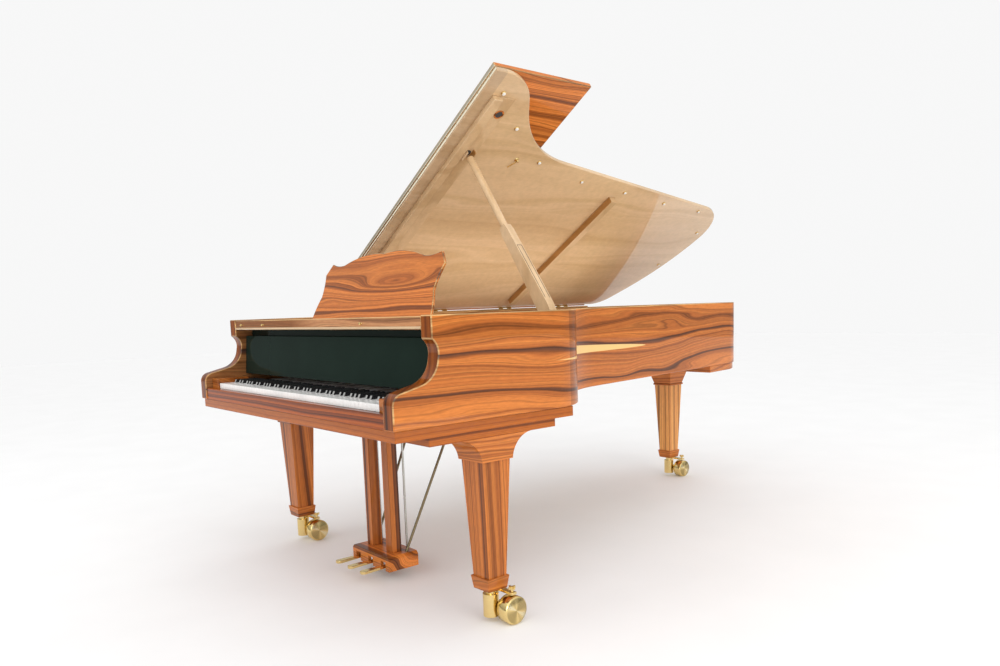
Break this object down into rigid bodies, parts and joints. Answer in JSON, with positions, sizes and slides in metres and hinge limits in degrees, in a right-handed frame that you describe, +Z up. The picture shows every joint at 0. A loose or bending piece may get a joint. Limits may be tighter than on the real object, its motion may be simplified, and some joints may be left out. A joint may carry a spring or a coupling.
{
  "type": "concert grand piano",
  "caption": "Concert grand piano in figured veneer with its lid on a prop, front flap folded back, music desk raised, open fallboard, pedal lyre and brass casters.",
  "frame": {"origin": "on the floor below the middle of the keyboard's front", "axes": "+Z up, +Y from the keyboard to the tail, +X towards the treble"},
  "size_m": [1.5068, 2.644, 1.8004],
  "materials": {
    "veneer": "polished figured veneer",
    "dark_wood": "polished",
    "raw_wood": "satin",
    "spruce": "satin varnish",
    "black_lacquer": "black lacquer, gloss",
    "ivory": "gloss",
    "ebony": "satin",
    "gilt_iron": "gold paint",
    "brass": "polished",
    "steel": "plain",
    "copper": "wound wire"
  },
  "bodies": {
    "case": {"outer_rim": "veneer", "inner_rim": "raw_wood", "bracing_beams": "raw_wood", "keybed": "veneer", "key_slip": "veneer", "key_blocks": "veneer", "pin_block": "raw_wood", "iron_plate": "gilt_iron", "soundboard": "spruce", "bridges": "raw_wood", "tuning_pins": "steel", "steel_strings": "steel", "copper_strings": "copper", "shelf_rails": "veneer", "treble_leg": "veneer", "bass_leg": "veneer", "tail_leg": "veneer", "lyre_frame": "veneer", "pedal_box": "veneer", "lyre_braces": "brass", "rim_hardware": "brass"},
    "lid": {"lid_panel": "veneer", "lid_bars": "dark_wood", "lid_hinges": "brass"},
    "flap": {"lid_flap": "veneer"},
    "prop": {"prop_sleeve": "veneer"},
    "stick": {"prop_stick": "veneer"},
    "shelf": {"music_shelf": "veneer"},
    "desk": {"music_desk": "veneer"},
    "fallboard": {"fallboard": "black_lacquer"},
    "action": {"key_frame": "raw_wood", "action_stack": "raw_wood"},
    "dampers": {"dampers": "black_lacquer"},
    "keys_a": {"keys_a": "ivory"},
    "keys_a_sharp": {"keys_a_sharp": "ebony"},
    "keys_b": {"keys_b": "ivory"},
    "keys_c": {"keys_c": "ivory"},
    "keys_c_sharp": {"keys_c_sharp": "ebony"},
    "keys_d": {"keys_d": "ivory"},
    "keys_d_sharp": {"keys_d_sharp": "ebony"},
    "keys_e": {"keys_e": "ivory"},
    "keys_f": {"keys_f": "ivory"},
    "keys_f_sharp": {"keys_f_sharp": "ebony"},
    "keys_g": {"keys_g": "ivory"},
    "keys_g_sharp": {"keys_g_sharp": "ebony"},
    "shift_pedal": {"shift_pedal": "brass"},
    "shift_rod": {"shift_pedal_rod": "brass"},
    "sostenuto_pedal": {"sostenuto_pedal": "brass"},
    "sostenuto_rod": {"sostenuto_pedal_rod": "brass"},
    "damper_pedal": {"damper_pedal": "brass"},
    "damper_rod": {"damper_pedal_rod": "brass"},
    "bass_caster": {"bass_caster_body": "brass"},
    "bass_wheel": {"bass_caster_wheel": "brass"},
    "bass_brake": {"bass_brake_screw": "brass"},
    "treble_caster": {"treble_caster_body": "brass"},
    "treble_wheel": {"treble_caster_wheel": "brass"},
    "treble_brake": {"treble_brake_screw": "brass"},
    "tail_caster": {"tail_caster_body": "brass"},
    "tail_wheel": {"tail_caster_wheel": "brass"},
    "tail_brake": {"tail_brake_screw": "brass"}
  },
  "joints": [
    {"name": "lid_hinge", "type": "hinge", "parent": "case", "child": "lid", "pos_m": [-0.748, 0, 1], "axis": [0, -1, 0], "range_deg": [-31.3, 0]},
    {"name": "flap_hinge", "type": "hinge", "parent": "lid", "child": "flap", "pos_m": [-0.11588, 0.5935, 1.40013], "axis": [0.8545, 0, 0.5195], "range_deg": [0, 180]},
    {"name": "prop_swing", "type": "hinge", "parent": "case", "child": "prop", "pos_m": [0.63, 0.711, 0.958], "axis": [0, -1, 0], "range_deg": [0, 54.9]},
    {"name": "prop_slide", "type": "slide", "parent": "prop", "child": "stick", "axis": [-0.5685, 0, 0.8227], "range_m": [-0.362, 0]},
    {"name": "shelf_slide", "type": "slide", "parent": "case", "child": "shelf", "axis": [0, 1, 0], "range_m": [0, 0.06]},
    {"name": "desk_fold", "type": "hinge", "parent": "shelf", "child": "desk", "pos_m": [0, 0.3655, 0.9624], "axis": [-1, 0, 0], "range_deg": [0, 67]},
    {"name": "fallboard_hinge", "type": "hinge", "parent": "case", "child": "fallboard", "pos_m": [0, 0.186, 0.77], "axis": [1, 0, 0], "range_deg": [0, 90]},
    {"name": "action_shift", "type": "slide", "parent": "case", "child": "action", "axis": [1, 0, 0], "range_m": [0, 0.003]},
    {"name": "damper_lift", "type": "slide", "parent": "case", "child": "dampers", "axis": [0, 0, 1], "range_m": [0, 0.0075]},
    {"name": "keys_a_press", "type": "hinge", "parent": "action", "child": "keys_a", "pos_m": [0, 0.283, 0.711], "axis": [1, 0, 0], "range_deg": [0, 2.3], "stiffness_Nm_per_rad": 20, "springref_deg": -1.72},
    {"name": "keys_a_sharp_press", "type": "hinge", "parent": "action", "child": "keys_a_sharp", "pos_m": [0, 0.283, 0.711], "axis": [1, 0, 0], "range_deg": [0, 2.3], "stiffness_Nm_per_rad": 20, "springref_deg": -1.72},
    {"name": "keys_b_press", "type": "hinge", "parent": "action", "child": "keys_b", "pos_m": [0, 0.283, 0.711], "axis": [1, 0, 0], "range_deg": [0, 2.3], "stiffness_Nm_per_rad": 20, "springref_deg": -1.72},
    {"name": "keys_c_press", "type": "hinge", "parent": "action", "child": "keys_c", "pos_m": [0, 0.283, 0.711], "axis": [1, 0, 0], "range_deg": [0, 2.3], "stiffness_Nm_per_rad": 20, "springref_deg": -1.72},
    {"name": "keys_c_sharp_press", "type": "hinge", "parent": "action", "child": "keys_c_sharp", "pos_m": [0, 0.283, 0.711], "axis": [1, 0, 0], "range_deg": [0, 2.3], "stiffness_Nm_per_rad": 20, "springref_deg": -1.72},
    {"name": "keys_d_press", "type": "hinge", "parent": "action", "child": "keys_d", "pos_m": [0, 0.283, 0.711], "axis": [1, 0, 0], "range_deg": [0, 2.3], "stiffness_Nm_per_rad": 20, "springref_deg": -1.72},
    {"name": "keys_d_sharp_press", "type": "hinge", "parent": "action", "child": "keys_d_sharp", "pos_m": [0, 0.283, 0.711], "axis": [1, 0, 0], "range_deg": [0, 2.3], "stiffness_Nm_per_rad": 20, "springref_deg": -1.72},
    {"name": "keys_e_press", "type": "hinge", "parent": "action", "child": "keys_e", "pos_m": [0, 0.283, 0.711], "axis": [1, 0, 0], "range_deg": [0, 2.3], "stiffness_Nm_per_rad": 20, "springref_deg": -1.72},
    {"name": "keys_f_press", "type": "hinge", "parent": "action", "child": "keys_f", "pos_m": [0, 0.283, 0.711], "axis": [1, 0, 0], "range_deg": [0, 2.3], "stiffness_Nm_per_rad": 20, "springref_deg": -1.72},
    {"name": "keys_f_sharp_press", "type": "hinge", "parent": "action", "child": "keys_f_sharp", "pos_m": [0, 0.283, 0.711], "axis": [1, 0, 0], "range_deg": [0, 2.3], "stiffness_Nm_per_rad": 20, "springref_deg": -1.72},
    {"name": "keys_g_press", "type": "hinge", "parent": "action", "child": "keys_g", "pos_m": [0, 0.283, 0.711], "axis": [1, 0, 0], "range_deg": [0, 2.3], "stiffness_Nm_per_rad": 20, "springref_deg": -1.72},
    {"name": "keys_g_sharp_press", "type": "hinge", "parent": "action", "child": "keys_g_sharp", "pos_m": [0, 0.283, 0.711], "axis": [1, 0, 0], "range_deg": [0, 2.3], "stiffness_Nm_per_rad": 20, "springref_deg": -1.72},
    {"name": "shift_pedal_press", "type": "hinge", "parent": "case", "child": "shift_pedal", "pos_m": [0, 0.396, 0.055], "axis": [1, 0, 0], "range_deg": [0, 6.5], "stiffness_Nm_per_rad": 40, "springref_deg": -2.86},
    {"name": "shift_rod_lift", "type": "slide", "parent": "case", "child": "shift_rod", "axis": [0, 0, 1], "range_m": [0, 0.0055]},
    {"name": "sostenuto_pedal_press", "type": "hinge", "parent": "case", "child": "sostenuto_pedal", "pos_m": [0, 0.396, 0.055], "axis": [1, 0, 0], "range_deg": [0, 6.5], "stiffness_Nm_per_rad": 40, "springref_deg": -2.86},
    {"name": "sostenuto_rod_lift", "type": "slide", "parent": "case", "child": "sostenuto_rod", "axis": [0, 0, 1], "range_m": [0, 0.0055]},
    {"name": "damper_pedal_press", "type": "hinge", "parent": "case", "child": "damper_pedal", "pos_m": [0, 0.396, 0.055], "axis": [1, 0, 0], "range_deg": [0, 6.5], "stiffness_Nm_per_rad": 40, "springref_deg": -2.86},
    {"name": "damper_rod_lift", "type": "slide", "parent": "case", "child": "damper_rod", "axis": [0, 0, 1], "range_m": [0, 0.0055]},
    {"name": "bass_swivel", "type": "hinge", "parent": "case", "child": "bass_caster", "pos_m": [-0.662, 0.378, 0.1], "axis": [0, 0, 1], "continuous": true},
    {"name": "bass_roll", "type": "hinge", "parent": "bass_caster", "child": "bass_wheel", "pos_m": [-0.6, 0.412, 0.0455], "axis": [1, 0, 0], "continuous": true},
    {"name": "bass_brake_turn", "type": "hinge", "parent": "bass_caster", "child": "bass_brake", "pos_m": [-0.596, 0.412, 0.11], "axis": [0, 0, 1], "range_deg": [0, 180]},
    {"name": "treble_swivel", "type": "hinge", "parent": "case", "child": "treble_caster", "pos_m": [0.662, 0.378, 0.1], "axis": [0, 0, 1], "continuous": true},
    {"name": "treble_roll", "type": "hinge", "parent": "treble_caster", "child": "treble_wheel", "pos_m": [0.724, 0.412, 0.0455], "axis": [1, 0, 0], "continuous": true},
    {"name": "treble_brake_turn", "type": "hinge", "parent": "treble_caster", "child": "treble_brake", "pos_m": [0.728, 0.412, 0.11], "axis": [0, 0, 1], "range_deg": [0, 180]},
    {"name": "tail_swivel", "type": "hinge", "parent": "case", "child": "tail_caster", "pos_m": [-0.252, 2.468, 0.1], "axis": [0, 0, 1], "continuous": true},
    {"name": "tail_roll", "type": "hinge", "parent": "tail_caster", "child": "tail_wheel", "pos_m": [-0.19, 2.502, 0.0455], "axis": [1, 0, 0], "continuous": true},
    {"name": "tail_brake_turn", "type": "hinge", "parent": "tail_caster", "child": "tail_brake", "pos_m": [-0.186, 2.502, 0.11], "axis": [0, 0, 1], "range_deg": [0, 180]}
  ],
  "couplings": [
    {"joint": "prop_swing", "follows": "lid_hinge", "ratio": -1.75},
    {"joint": "prop_slide", "follows": "lid_hinge", "m_per_rad": 0.66},
    {"joint": "action_shift", "follows": "shift_pedal_press", "m_per_rad": 0.0246},
    {"joint": "damper_lift", "follows": "damper_pedal_press", "m_per_rad": 0.065},
    {"joint": "shift_rod_lift", "follows": "shift_pedal_press", "m_per_rad": 0.046},
    {"joint": "sostenuto_rod_lift", "follows": "sostenuto_pedal_press", "m_per_rad": 0.046},
    {"joint": "damper_rod_lift", "follows": "damper_pedal_press", "m_per_rad": 0.046}
  ]
}
